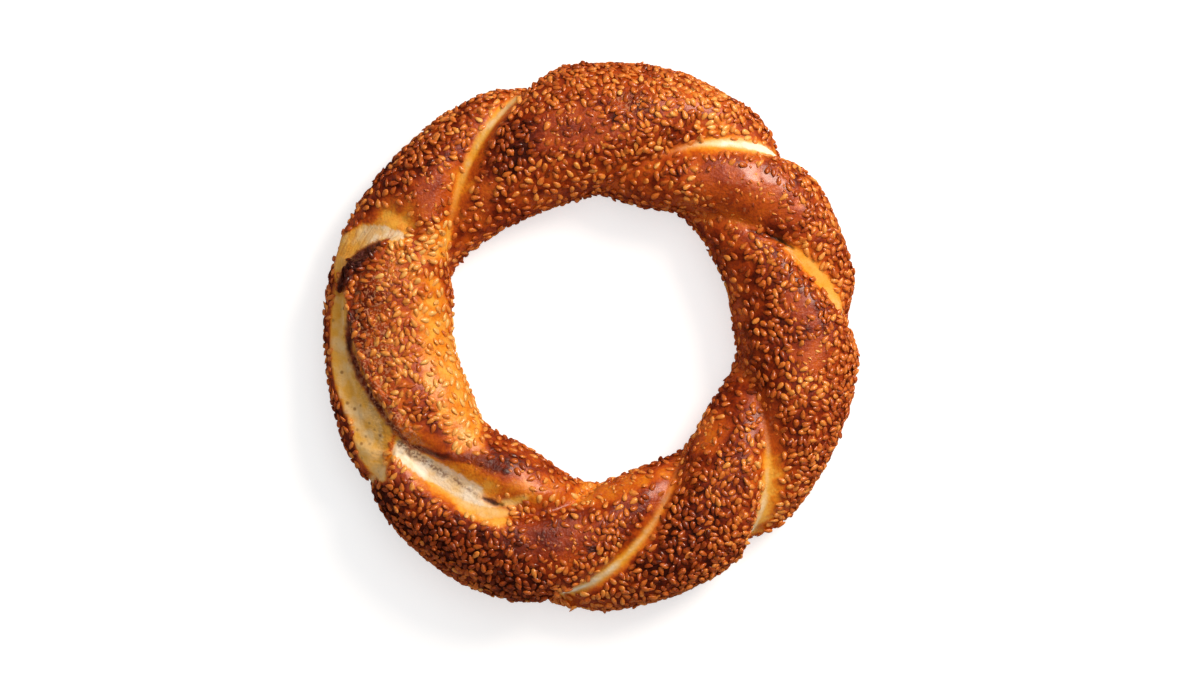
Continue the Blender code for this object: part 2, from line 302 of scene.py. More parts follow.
def skin(turn, roll):
    """Points of the skin, in mm, at turns and rolls in degrees, and how near its creases are."""
    middle, half = middle_and_half(turn)
    height = HEIGHT_RATIO * half
    level = WIDEST_LEVEL * height
    c, s = np.cos(np.radians(roll)), np.sin(np.radians(roll))
    power = np.where(s >= 0, TOP_POWER, UNDER_POWER)
    up = np.where(s >= 0, height - level, level + BAKED_FLAT)
    out = half * np.sign(c) * np.abs(c) ** power
    rise = up * np.sign(s) * np.abs(s) ** power
    reach = middle + out
    nears = [nearness(line, turn, roll, reach) for line in CREASE_LINES]
    cuts, rises = zip(*(cut_and_rise(near) for near in nears))
    cut = np.sum(np.power(cuts, JOIN_POWER), axis=0) ** (1 / JOIN_POWER)
    cut = cut - np.max(rises, axis=0)

    a = np.radians(turn)
    bare = np.stack([reach * np.cos(a), reach * np.sin(a), level + rise], axis=-1)
    lumps = sum(height * noise_at(bare, width) for width, height in LUMPS)
    moved = lumps * (1 - np.clip(-s, 0, 1) ** 2) - cut
    size = np.hypot(out, rise)
    reach = middle + out * (1 + moved / size)
    z = np.maximum(np.maximum(level + rise, 0) + moved * rise / size, 0)
    x = reach * np.cos(a) + CENTRE_SHIFT[0]
    y = reach * np.sin(a) + CENTRE_SHIFT[1]
    return np.stack([x, y, z], axis=-1), nears


crown, _ = skin(np.array([0.0]), np.array([90.0]))
print("top of the dough at turn 0, mm:", crown[0].round(1).tolist())

# %% [markdown]
# ## The crust as a mesh
# A flat grid stands for the unrolled skin: one side runs along the ring, the other round the
# dough. Its own flat places become the UV map, in millimetres, and then every point moves onto
# the skin, and the borders that meet are merged. Spinning a circle would give the same ring, but
# hundreds of steps take long. The rows lie closer on top, where the seams and the light are.

# %% Roll a grid into the ring
RING_STEPS = 700
SKIN_STEPS = 132
TOP_CROWDING = 0.35
MIDDLE_RADIUS = 65.0

bm = bmesh.new()
bmesh.ops.create_grid(bm, x_segments=RING_STEPS, y_segments=SKIN_STEPS, size=0.5)
flat = np.array([vert.co for vert in bm.verts])[:, :2] + 0.5
turn = 360 * flat[:, 0]
wound = math.tau * flat[:, 1]
lifted = np.degrees(wound + TOP_CROWDING * np.cos(wound))
skin_map = bm.loops.layers.uv.new("skin")
unrolled = np.radians(np.stack([turn * MIDDLE_RADIUS, lifted * TUBE_RADIUS], axis=-1))
for face in bm.faces:
    for loop in face.loops:
        loop[skin_map].uv = unrolled[loop.vert.index]
turn, roll = np.mod(turn, 360), np.mod(lifted, 360)
points, nears = skin(turn, roll)
print(len(points), "points on the skin")

# %% [markdown]
# ## Places on the crust
# Some features belong to a place and not to a seam: a bald dome, a burnt lip, a crack. They could
# be painted by hand, but as ovals and strokes they need no picture. Each is seen from above, in
# millimetres from the ring's middle, and noise makes its soft border ragged. They stay on the
# upper side, because the points below lie lower down.

# %% Ovals and strokes
UPPER_SIDE = 9.0
LOW_SIDE = 4.0
SPOT_BORDER = (-1.35, -0.65)


def soft_step(value, low, high):
    """0 below low, 1 above high, and a smooth rise between them."""
    t = np.clip((value - low) / (high - low), 0, 1)
    return t * t * (3 - 2 * t)


def above(level):
    """1 for the points of the skin above a level, falling to 0 just under it."""
    return soft_step(points[:, 2], level - 3, level + 1)


east, north = (points[:, :2] - CENTRE_SHIFT).T
upper = above(UPPER_SIDE)
broad, medium, fine = (noise_at(points, width) for width in (17.0, 5.0, 1.7))


def spots(listed, wobble, low=UPPER_SIDE):
    """How strong soft ovals, as (x, y, length, width, angle, strength), are at each point."""
    found = np.zeros(len(points))
    for x0, y0, length, width, angle, strength in listed:
        a = math.radians(angle)
        x, y = east - x0, north - y0
        long, wide = x * math.cos(a) + y * math.sin(a), y * math.cos(a) - x * math.sin(a)
        far = np.hypot(long / (length / 2), wide / (width / 2)) + wobble
        found = np.maximum(found, strength * soft_step(-far, *SPOT_BORDER))
    return found * above(low)


def strokes(listed, wobble, softness):
    """How far each point of the skin lies inside strokes given as (x, y, half width) stops."""
    found = np.full(len(points), -np.inf)
    for stroke in listed:
        for (x0, y0, w0), (x1, y1, w1) in zip(stroke, stroke[1:]):
            dx, dy = x1 - x0, y1 - y0
            share = ((east - x0) * dx + (north - y0) * dy) / (dx * dx + dy * dy)
            share = np.clip(share, 0, 1)
            gap = np.hypot(east - x0 - share * dx, north - y0 - share * dy)
            found = np.maximum(found, w0 + (w1 - w0) * share - gap)
    return soft_step(found + wobble, -softness, softness) * upper


print("share of points on the upper side:", upper.mean().round(2))

# %% [markdown]
# ## Burnt lips and cracks
# Where the skin tore, its free edge curled up and charred, to nearly black at the thin lip at
# the upper left and to dark brown along the proud strand. The crumb is greyer and grainy along
# the boat's upper edge and beside the burnt edge. The cracks are cut in and painted dark, as
# painted shade in their depths. The lip comes first, because whatever lies under it must leave it
# free.

# %% Charred places
BURNT_LIP = (
    (
        (-64.4, 29.2, 0.5), (-68.0, 27.4, 1.5), (-71.6, 24.8, 2.0), (-74.9, 21.3, 2.2),
        (-77.4, 17.7, 1.9), (-79.1, 14.6, 1.2),
    ),
)
BURNT_EDGE = (
    (
        (-76.1, 6.8, 0.5), (-76.1, -0.5, 1.3), (-75.8, -5.2, 1.1), (-72.9, -12.6, 1.1),
        (-68.8, -19.9, 1.1), (-64.0, -26.9, 0.9), (-59.9, -31.9, 0.8), (-56.4, -35.4, 0.8),
        (-47.5, -38.6, 0.9), (-38.0, -39.2, 1.6), (-31.6, -41.2, 1.6), (-26.2, -44.0, 0.6),
    ),
)
# Cracks: cut in for real, and painted dark as painted shade in their depths.
CRACKS_PAINTED_DARK = (
    ((50.4, 32.6, 0.2), (55.8, 31.3, 0.5), (60.5, 29.4, 0.5), (64.4, 26.9, 0.1)),
    ((-33.5, -52.3, 0.4), (-31.0, -53.2, 0.9), (-27.5, -54.2, 0.4)),
)
SCORCHED = (
    (-33.5, -40.5, 13, 4.5, -24, 0.55), (0.8, -68.2, 3.4, 2.8, 0, 1.0),
    (-22.0, -67.0, 10, 5, -20, 0.35),
)
GREY_GRAIN = (
    (
        (-60.0, -34.8, 1.2), (-56.0, -37.4, 1.9), (-51.5, -40.8, 1.2), (-47.5, -43.6, 1.0),
        (-39.6, -48.3, 0.7), (-34.2, -52.0, 0.4),
    ),
    ((-75.5, -11.0, 0.6), (-70.4, -20.5, 1.6), (-65.3, -28.8, 1.9), (-65.1, -37.9, 1.2)),
)
OUTER_LEFT = -62.0
lip = strokes(BURNT_LIP, 0.5 * fine, 0.7)
edge = strokes(BURNT_EDGE, 0.6 * fine + 0.4 * medium, 0.7)
near_edge = strokes(BURNT_EDGE, 1.5, 4.0)
crack_painted_dark = strokes(CRACKS_PAINTED_DARK, 0.35 * fine, 0.5)
scorched = spots(SCORCHED, 0.4 * medium)
grey = strokes(GREY_GRAIN, 0.5 * fine, 0.8) * (0.35 + 0.65 * (east > OUTER_LEFT))
print("points on the lip and on the edge:", int((lip > 0.5).sum()), int((edge > 0.5).sum()))

# %% [markdown]
# ## Torn floors
# Under the lip and the edge lies dough that was drawn out as the ring rose. It is pale, and
# wider than any seam's floor, so it is laid as strokes too. Some skin grew across it again.

# %% Torn, open and healed places
TORN_FLOORS = (
    (
        (-79.6, 17.0, 1.0), (-79.2, 22.0, 2.1), (-76.0, 28.5, 3.5), (-71.7, 30.8, 3.7),
        (-65.0, 31.8, 2.6), (-60.0, 30.6, 1.6),
    ),
    (
        (-79.6, 17.0, 1.0), (-79.6, 13.0, 1.5), (-79.6, 8.0, 2.0), (-80.0, 1.1, 2.1),
        (-79.5, -4.9, 2.7), (-78.5, -10.2, 3.3), (-76.7, -16.2, 3.6), (-73.9, -22.1, 4.2),
        (-70.7, -28.1, 4.8), (-69.8, -33.0, 4.8), (-69.2, -37.0, 4.2), (-67.3, -41.8, 3.0),
        (-65.8, -45.2, 1.6),
    ),
)
BOAT_FLOOR = (
    (
        (-60.2, -37.0, 2.8), (-54.5, -40.8, 3.3), (-50.1, -43.4, 3.5), (-46.2, -45.1, 3.5),
        (-41.5, -47.5, 3.1), (-35.1, -49.6, 1.8),
    ),
)
YELLOW_FLOORS = (
    ((-43.7, -50.7, 0.8), (-38.0, -54.2, 1.6), (-32.6, -56.4, 1.9), (-26.5, -56.7, 1.0)),
    ((-28.4, -53.6, 0.8), (-24.5, -53.3, 1.2), (-20.2, -52.0, 0.8)),
)
HEALED = (
    (-21.5, -54.5, 24, 9, -16, 1.0), (-13.0, -49.5, 27, 11, -12, 1.0),
)
RIDGES = (((-61.6, -31.8, 0.7), (-62.6, -36.0, 0.8), (-64.5, -40.5, 0.7)),)
torn = strokes(TORN_FLOORS, 0.3 * medium, 0.6) * (1 - lip)
boat = strokes(BOAT_FLOOR, 0.3 * medium, 1.0)
yellow = strokes(YELLOW_FLOORS, 0.3 * medium, 0.8)
healed = np.maximum(spots(HEALED, 0.3 * medium), strokes(RIDGES, 0.2 * medium, 0.5))
print("points on torn floors:", int((torn > 0.5).sum()))

# %% [markdown]
# ## Where seeds are missing
# Bald domes rubbed on something before they baked, so the glaze lies smooth there. On the proud
# strand at the left the glaze blistered and broke into flakes, and took most seeds with it.

# %% Bald and flaky places
BALD = (
    (48.7, 44.5, 35, 23, -28, 1.0), (-5.0, 64.5, 26, 14, -8, 0.8),
    (-50.1, 44.3, 21, 12, 48, 0.95), (-11.0, -65.0, 23, 14, -10, 0.95),
    (70.4, -6.2, 14, 10, 84, 0.95), (67.5, 7.5, 13, 8, -60, 0.8), (57.0, -27.5, 16, 6, 90, 0.9),
    (7.2, -49.5, 20, 7, 14, 0.75), (38.5, -32.0, 14, 9, 45, 0.75),
    (-30.0, -46.4, 31, 11, -19, 1.0), (-44.0, -50.5, 20, 4.5, -40, 1.0),
    (-34.5, -56.5, 16, 5, -25, 1.0), (-30.5, -53.4, 10, 5, -10, 1.0),
    (-32.0, 46.0, 5, 24, -8, 0.9), (-66.0, 37.5, 18, 5, 40, 0.8),
)
FLAKY = (
    (-67.8, -4.0, 48, 13, 95, 0.85), (-66.0, 16.0, 18, 9, 70, 0.8),
    (-60.0, -29.5, 24, 7, -52, 0.9), (13.5, 73.0, 12, 7, 0, 0.8),
)
bald = spots(BALD, 0.3 * medium)
flaky = spots(FLAKY, 0.3 * medium)
print("share of bald skin:", (bald > 0.5).mean().round(3))

# %% [markdown]
# ## Where the crust is dark or golden
# An oven browns unevenly. The shoulders that stood proud went dark, and the dough that lay in
# the shade of a strand or against its neighbour stayed golden. The same ovals also carry painted
# shade where the skin faces away from the light at the upper right, and painted light where it
# faces it, as on the hole's left side.

# %% Dark and golden places
# Darker browning, and painted shade on the sides that face away from the light.
DARK_AND_SHADED = (
    (-42.4, -65.3, 74, 17, -33, 0.26), (26.0, -66.0, 36, 27, 22, 0.24),
    (-28.5, 58.4, 26, 17, 26, 0.32), (49.0, 46.0, 28, 16, -28, 0.1),
    (56.0, -4.0, 40, 16, 85, 0.06), (60.0, 33.0, 12, 8, -30, 0.25),
    (-14.0, -64.0, 28, 14, -8, 0.18), (57.0, -27.5, 18, 9, 90, 0.12),
    (-24.5, -41.5, 18, 6, -30, 0.22),
)
# Golden browning, and painted light on the sides that face the light.
GOLDEN_AND_LIT = (
    (29.8, 73.7, 34, 16, -22, 0.22), (-49.0, 28.3, 15, 10, 60, 0.45),
    (-44.5, -12.0, 58, 15, -75, 0.7), (-60.0, -2.2, 46, 20, 92, 0.12),
    (-62.0, 22.0, 16, 16, 60, 0.2), (-35.0, -46.4, 22, 9, -30, 0.1),
    (7.2, -48.8, 30, 9, 14, 0.3), (-15.0, -49.0, 22, 9, -12, 0.22),
    (37.7, -31.3, 18, 9, 45, 0.2), (-34.5, -56.5, 18, 6, -25, 0.6),
    (60.0, 40.0, 30, 10, -40, 0.1),
)
dark_and_shaded = spots(DARK_AND_SHADED, 0.25 * broad + 0.15 * medium, LOW_SIDE)
golden_and_lit = spots(GOLDEN_AND_LIT, 0.25 * medium, LOW_SIDE)
print("strongest dark and light:", dark_and_shaded.max().round(2), golden_and_lit.max().round(2))

# %% [markdown]
# ## The browning of the seams
# A seam's floor stays pale, its margin turns golden, and the high places brown first. A number
# worked out for each point follows the form exactly, which paint hardly does, and the material
# turns it into colour later.

# %% Pale floors, golden margins and bare strips
MARGIN_WIDTH = 2.8
LEFT_PART = -40.0
pale, gold, bare, cream, pores = np.zeros((5, len(points)))
outer_side = soft_step(np.cos(np.radians(roll)), 0.3, 0.9) * (east > LEFT_PART)
for near in nears:
    opened = soft_step(near.floor, 0.5, 1.6) * soft_step(near.depth, 0.8, 2.0)
    inside = near.floor - near.gap + 0.5 * medium + 0.3 * fine
    shown = opened * soft_step(inside, -1.1, 0.9)
    lighter = near.crease.cream * soft_step(inside, -1.0, 2.0) + 0.3 * outer_side
    cream = np.where(shown > pale, lighter, cream)
    pores = np.where(shown > pale, near.crease is BURST, pores)
    pale = np.maximum(pale, shown)
    outside = np.maximum(near.gap - near.floor + 0.8 * medium, 0)
    margin = np.exp(-(outside / MARGIN_WIDTH))
    gold = np.maximum(gold, margin * soft_step(near.depth, 0.8, 2.4) * (0.3 + 0.7 * opened))
    free = np.where(near.left, near.crease.left_bare, near.crease.right_bare)
    free = free - near.gap + near.floor
    free = soft_step(free + medium, -0.8, 0.8) * soft_step(near.depth, 1.2, 2.6)
    bare = np.maximum(bare, free * soft_step(near.floor, 0.4, 1.1))
print("share of pale floors in the seams:", (pale > 0.5).mean().round(3))

# %% [markdown]
# ## The browning of the tear
# North of the corner where the tear turns, the dough was drawn out in streaks, and south of it
# the floor opened late and shows pores. The lip, the burnt edge and healed skin cover parts of
# it. The boat's floor is the whitest, and the small floors at its end are yellow.

# %% Torn dough and what covers it
CORNER = 12.0
UPPER_LEFT = -50.0
BOAT_CREAM = 0.85
YELLOW_CREAM = 0.45
stretched = torn * (north > CORNER)
stretched_cream = 0.2 + 0.6 * soft_step(east, -77, -68)
burst_cream = 0.37 + 0.1 * soft_step(-north, 15, 30)
torn_cream = np.where(north > CORNER, stretched_cream, burst_cream)
cream = np.where(torn > 0.5, torn_cream, cream)
pores = np.maximum(pores, torn * (north < CORNER))
streaks = np.clip(0.6 * stretched + 0.12 * (1 - torn) * pale, 0, 1)
pale = np.where((north > CORNER) & (east < UPPER_LEFT), 0.3 * pale, pale)
pale = np.maximum(pale, torn) * (1 - lip) * (1 - edge) * (1 - healed)
cream = np.where(boat > 0.5, BOAT_CREAM, cream)
pale = np.maximum(pale, boat * (1 - healed) * (1 - edge))
cream = np.where(yellow > pale, YELLOW_CREAM, cream)
pale = np.maximum(pale, yellow)
gold, bare = gold * (1 - 0.6 * healed), bare * (1 - healed)
print("share of pale dough:", (pale > 0.5).mean().round(3))

# %% [markdown]
# ## How brown each point is, with painted shade
# One number from 0 to 1 sums up browning and painted shade: a middle value, noise, the dark and
# golden places with their painted shade and light, less near pale dough, more at burnt edges and
# at the far left rim, and painted shade low on the sides, on the hole's right side and in cracks.

# %% Toast, painted shade and char
MIDDLE_TOAST = 0.53
HOLE_ROLL = 172
around = np.maximum(strokes(TORN_FLOORS, 1.5 + 0.3 * medium, 1.5), gold)
around = around * (1 - lip) * (1 - edge)
# Painted shade: the skin low on the sides is darkened in colour.
side_shade = soft_step(-points[:, 2], -13, -2)
rim = soft_step(np.cos(np.radians(roll)), 0.7, 0.85) * (east < OUTER_LEFT) * (1 - pale)
around *= 1 - 0.8 * rim
hole_side = soft_step(np.cos(np.radians(roll - HOLE_ROLL)), 0.35, 0.95)
toast = MIDDLE_TOAST + 0.17 * broad + 0.10 * medium + dark_and_shaded - golden_and_lit - 0.42 * around + 0.18 * edge
# Painted shade: the low sides and the hole's side in the right half, which faces away from the
# light, are darkened; so are the cracks, below.
edges_and_painted_shade = 0.18 * near_edge + 0.1 * rim + 0.06 * side_shade + 0.06 * hole_side * (east > 0)
toast += edges_and_painted_shade + 0.25 * crack_painted_dark
toast = np.clip(toast + 0.06 * fine, 0.02, 0.98)
# Char on the lip, the edge and scorched spots, and painted shade in the cracks.
burnt = np.maximum.reduce([lip, 0.4 * edge, 0.9 * crack_painted_dark, scorched])
print("mean toast:", toast.mean().round(2))

# %% [markdown]
# ## Lips and flakes
# The burnt lip curls up some 2 mm from the torn floor, and the glaze on the proud strand is
# broken into flakes. Such low relief needs no modelling: the points move straight up or down.

# %% Move the points
LIP_HEIGHT = 2.2
EDGE_HEIGHT = 0.5
CRACK_DEPTH = 1.2
TORN_DEPTH = 0.5
FLAKE_HEIGHT = 0.7
ABOVE_TABLE = 0.15

flakes = np.abs(noise_at(points, 2.6)) * 2 - 0.6
points[:, 2] += LIP_HEIGHT * lip * (1 + 0.5 * fine) + EDGE_HEIGHT * edge - CRACK_DEPTH * crack_painted_dark
points[:, 2] += FLAKE_HEIGHT * np.maximum.reduce([flaky, 0.8 * edge, 0.08 * bald]) * flakes
points[:, 2] -= TORN_DEPTH * strokes(TORN_FLOORS, 0, 1.2) * (1 - lip)
points[:, 2] = np.maximum(points[:, 2], ABOVE_TABLE)
print("height of the skin, mm:", points[:, 2].max().round(1))

# %% [markdown]
# ## Closing the ring
# The grid's points now lie in place, and its opposite borders lie on each other, so merging
# doubles closes it. Each point remembers its old number, so that its browning isn't lost.

# %% The crust object
MERGE_WITHIN = 1e-7


def add_object(name, data):
    """A new object in the scene for a mesh, a light or a camera."""
    made = bpy.data.objects.new(name, data)
    bpy.context.scene.collection.objects.link(made)
    return made


place = bm.verts.layers.int.new("place")
for vert in bm.verts:
    vert[place] = vert.index
    vert.co = points[vert.index] * MM
bmesh.ops.remove_doubles(bm, verts=bm.verts, dist=MERGE_WITHIN)
bmesh.ops.recalc_face_normals(bm, faces=bm.faces)
bm.verts.ensure_lookup_table()
kept = np.array([vert[place] for vert in bm.verts])
bm.verts.layers.int.remove(bm.verts.layers.int["place"])
open_edges = sum(len(side.link_faces) != 2 for side in bm.edges)
crust_mesh = bpy.data.meshes.new("crust")
bm.to_mesh(crust_mesh)
bm.free()
crust_mesh.shade_smooth()
crust = add_object("crust", crust_mesh)
print(open_edges, "open edges,", 2 * len(crust_mesh.polygons), "triangles in the crust")

# %% [markdown]
# ## Numbers for the material
# A mesh can carry named numbers for its points, and a material can read them.
# Glaze pools between seeds and browns more, and painted shade darkens the gaps between seeds, so
# seeded skin counts as darker than bald skin. The bald domes that face the light shine most.

# %% Keep the browning and painted shade on the points
def keep(mesh, name, values):
    """Writes one number for each point of a mesh, for its material to read."""
    layer = mesh.attributes.new(name, "FLOAT", "POINT")
    layer.data.foreach_set("value", np.asarray(values, np.float32))


# Real pooled glaze and painted shade between the seeds.
GLAZE_POOLS_AND_SHADE = 0.22
DULL_SOUTH = -36
points, toast, pale, cream = points[kept], toast[kept], pale[kept], cream[kept]
burnt, bald, bare, flaky = burnt[kept], bald[kept], bare[kept], flaky[kept]
lip, edge, gold, crack_painted_dark, hole_side, rim = (
    values[kept] for values in (lip, edge, gold, crack_painted_dark, hole_side, rim)
)
seeded = (1 - bald) * (1 - pale) * (1 - bare) * (1 - 0.5 * hole_side)
numbers = {
    "pale": pale, "cream": cream, "burnt": burnt, "bald": bald, "flaky": flaky,
    "grey": grey[kept], "pores": pores[kept], "streaks": streaks[kept],
    "toast": toast + GLAZE_POOLS_AND_SHADE * seeded,
    "gloss": 0.3 + 0.5 * bald * (points[:, 1] > DULL_SOUTH),
    "grain": 0.35 + 1.2 * flaky + 0.2 * bald + 0.6 * burnt,
}
for name, values in numbers.items():
    keep(crust_mesh, name, values)
print(len(crust_mesh.attributes), "attributes on the crust")

# %% [markdown]
# ## Helpers for the materials
# A material is a tree of nodes. One function adds a node, sets its inputs and links them, which
# is shorter than a line for each. Colours are sRGB hex values, as a picture program shows them,
# and another function turns them to the linear values that Blender wants.

# %% Helpers for materials
MATH, RANGE, RAMP = "ShaderNodeMath", "ShaderNodeMapRange", "ShaderNodeValToRGB"
NOISE, CELLS, BLEND = "ShaderNodeTexNoise", "ShaderNodeTexVoronoi", "ShaderNodeMix"
PLACE, KEPT, SHADER = "ShaderNodeTexCoord", "ShaderNodeAttribute", "ShaderNodeBsdfPrincipled"
CENTRED, COLOURS = {"normalize": False}, {"data_type": "RGBA"}
TIMES, TIMES_PLUS = {"operation": "MULTIPLY"}, {"operation": "MULTIPLY_ADD"}


def linear(hex_colour):
    """An sRGB hex colour as linear RGBA."""
    parts = [int(hex_colour[i : i + 2], 16) / 255 for i in (1, 3, 5)]
    return (*((p / 12.92 if p <= 0.04045 else ((p + 0.055) / 1.055) ** 2.4) for p in parts), 1.0)


def node(tree, kind, settings=None, output=0, **inputs):
    """Adds a node with its settings and links, and returns one of its outputs.

    An input is a value, or another node's output to link. It is named with _ for a space, or by
    its number, as in i0. A range node turns i0 from between i1 and i2 to between i3 and i4.
    The stops of a colour ramp, as (place, hex colour), are a setting too.
    """
    made = tree.nodes.new(kind)
    for name, value in (settings or {}).items():
        if name != "stops":
            setattr(made, name, value)
            continue
        elements = made.color_ramp.elements
        for _ in value[len(elements) :]:
            elements.new(0.5)
        for element, (where, colour) in zip(elements, value):
            element.position = where
            element.color = linear(colour)
    for name, value in inputs.items():
        numbered = name[0] == "i" and name[1:].isdigit()
        socket = made.inputs[int(name[1:]) if numbered else name.replace("_", " ")]
        if isinstance(value, bpy.types.NodeSocket):
            tree.links.new(value, socket)
        else:
            socket.default_value = value
    return made.outputs[output] if made.outputs else made


def blank(name):
    """A new material, and its node tree with nothing in it."""
    made = bpy.data.materials.new(name)
    made.use_nodes = True
    made.node_tree.nodes.clear()
    return made, made.node_tree


print("a glaze brown, linear:", linear("#a03806"))

# %% [markdown]
# ## The crust's finish
# Baked bread crust under a molasses glaze: its sugar browned to orange and then to red-brown,
# with a thin shine. The torn floors are dry stretched dough, cream and matt. It is one skin, so
# one material mixes them by the numbers kept on it. The browning, with the painted shade and
# light it carries, comes first: noise 4.5 mm and 0.9 mm wide makes it blotchy, as an oven does,
# and less so where bald glaze lies smooth.

# %% Glazed bread crust: the browning
TOASTED = (
    (0.0, "#f6b040"), (0.2, "#e88414"), (0.45, "#c65408"), (0.65, "#a03806"),
    (0.82, "#742002"), (1.0, "#3e1004"),
)
BLOTCH_SIZE = 0.0045
SPECK_SIZE = 0.0009
crust_material, tree = blank("glazed_bread_crust")
place = node(tree, PLACE, output="Object")
stored = {name: node(tree, KEPT, {"attribute_name": name}, "Fac") for name in numbers}
blotch = node(tree, NOISE, CENTRED, Vector=place, Scale=1 / BLOTCH_SIZE, Detail=4.0)
speck = node(tree, NOISE, CENTRED, Vector=place, Scale=1 / SPECK_SIZE, Detail=3.0)
evened = node(tree, RANGE, i0=stored["bald"], i1=0.0, i2=1.0, i3=0.23, i4=0.12)
uneven = node(tree, MATH, TIMES_PLUS, i0=blotch, i1=evened, i2=stored["toast"])
uneven = node(tree, MATH, TIMES_PLUS, i0=speck, i1=0.1, i2=uneven)
# The ramp turns browning and painted shade and light alike into colour.
browned_and_shaded = node(tree, RAMP, {"stops": TOASTED}, Fac=uneven)
print(len(tree.nodes), "nodes for the browning")

# %% [markdown]
# Where seeds rubbed off, bits of their hulls stay in the glaze as pale flecks, at most 1 mm wide,
# and on the proud strand the glaze itself broke up. Both look lighter than the crust.

# %% Bits in the glaze
FLECK_SPACING = 0.0019
cells = node(tree, CELLS, Vector=place, Scale=1 / FLECK_SPACING)
flake = node(tree, RANGE, i0=cells, i1=0.14, i2=0.3, i3=1.0, i4=0.0)
flake = node(tree, MATH, TIMES, i0=flake, i1=stored["bald"])
patchy = node(tree, RANGE, i0=blotch, i1=-0.1, i2=0.2, i3=0.0, i4=0.5)
flake = node(tree, MATH, TIMES, i0=flake, i1=patchy)
browned_and_shaded = node(tree, BLEND, COLOURS, 2, i0=flake, i6=browned_and_shaded, i7=linear("#c87c4c"))
broken = node(tree, RANGE, i0=speck, i1=0.04, i2=0.24, i3=0.0, i4=0.75)
broken = node(tree, MATH, TIMES, i0=broken, i1=stored["flaky"])
browned_and_shaded = node(tree, BLEND, COLOURS, 2, i0=broken, i6=browned_and_shaded, i7=linear("#dc9060"))
print(len(tree.nodes), "nodes with the bits")

# %% [markdown]
# Stretched dough never browned. It runs from golden to cream by how late it opened, with streaks
# where it was drawn out, pores where bubbles broke, and greyer grainy crumb along the boat's upper
# edge and beside the burnt edge.

# %% Torn dough
CREAMS = ((0.0, "#ea980e"), (0.3, "#ecac42"), (0.7, "#f0ca90"), (1.0, "#fbead0"))
STREAKS = ((0.3, "#d2a064"), (0.6, "#ffffff"))
DRAWN_ALONG, DRAWN_ACROSS = 0.14, 0.9
PORE_SPACING = 0.0032
late = node(tree, MATH, TIMES_PLUS, i0=blotch, i1=0.3, i2=stored["cream"])
crumb = node(tree, RAMP, {"stops": CREAMS}, Fac=late)
stretch = node(tree, "ShaderNodeUVMap", {"uv_map": "skin"})
drawn = node(tree, "ShaderNodeMapping", Vector=stretch, Scale=(DRAWN_ALONG, DRAWN_ACROSS, 1))
streak = node(tree, NOISE, Vector=drawn, Scale=1.0, Detail=3.0)
lines = node(tree, RAMP, {"stops": STREAKS}, Fac=streak)
laid_over = {"data_type": "RGBA", "blend_type": "MULTIPLY"}
crumb = node(tree, BLEND, laid_over, 2, i0=stored["streaks"], i6=crumb, i7=lines)
bubbles = node(tree, CELLS, Vector=place, Scale=1 / PORE_SPACING)
pore = node(tree, RANGE, i0=bubbles, i1=0.1, i2=0.24, i3=0.8, i4=0.0)
pore = node(tree, MATH, TIMES, i0=pore, i1=stored["pores"])
crumb = node(tree, BLEND, COLOURS, 2, i0=pore, i6=crumb, i7=linear("#98642c"))
grains = node(tree, RANGE, i0=speck, i1=-0.3, i2=0.25, i3=0.35, i4=0.85)
grains = node(tree, MATH, TIMES, i0=grains, i1=stored["grey"])
crumb = node(tree, BLEND, COLOURS, 2, i0=grains, i6=crumb, i7=linear("#754c34"))
bread = node(tree, BLEND, COLOURS, 2, i0=stored["pale"], i6=browned_and_shaded, i7=crumb)
print(len(tree.nodes), "nodes with the torn dough")

# %% [markdown]
# The burnt lip is nearly black with a purple tinge, and the same char paints the cracks dark as
# painted shade. The glaze shines softly, as a thin coat over the bread, and the torn dough hardly
# at all. The same noises that colour the crust raise its grain, under half a millimetre high, so
# that a dark speck is also a small pit or bump.

# %% Char, shine and grain
BURNT = ((0.0, "#2c1210"), (0.35, "#6a342a"))
GRAIN_HEIGHT = 0.0003
charred = node(tree, RAMP, {"stops": BURNT}, Fac=speck)
char = node(tree, RANGE, i0=speck, i1=-0.4, i2=0.2, i3=0.75, i4=1.0)
char = node(tree, MATH, TIMES, i0=char, i1=stored["burnt"])
bread = node(tree, BLEND, COLOURS, 2, i0=char, i6=bread, i7=charred)
rough = node(tree, RANGE, i0=stored["pale"], i1=0.0, i2=1.0, i3=0.37, i4=0.66)
rough = node(tree, MATH, TIMES_PLUS, i0=speck, i1=0.12, i2=rough)
relief = node(tree, MATH, TIMES_PLUS, i0=speck, i1=stored["grain"], i2=blotch)
relief = node(tree, MATH, TIMES_PLUS, i0=streak, i1=0.3, i2=relief)
bump = node(tree, "ShaderNodeBump", Strength=0.6, Distance=GRAIN_HEIGHT, Height=relief)
surface = node(
    tree, SHADER, Base_Color=bread, Roughness=rough, Normal=bump, IOR=1.45,
    Specular_IOR_Level=0.35, Coat_Weight=stored["gloss"], Coat_Roughness=0.24,
)
node(tree, "ShaderNodeOutputMaterial", Surface=surface)
crust_mesh.materials.append(crust_material)
print(len(tree.nodes), "nodes in the crust's material")

# %% [markdown]
# ## One sesame seed
# A hulled sesame seed is a flat drop about 3 mm long, 1.9 mm wide and 1 mm thick, round at one
# end and pointed at the other. A sphere of few faces is stretched into it, because thousands of
# copies follow, and smooth shading hides how few they are. Triangulating leaves the faces in
# no fixed order, so they are sorted.

# %% The seed's form
SEED_LENGTH = 3.15
SEED_WIDTH = 1.85
SEED_THICKNESS = 0.95

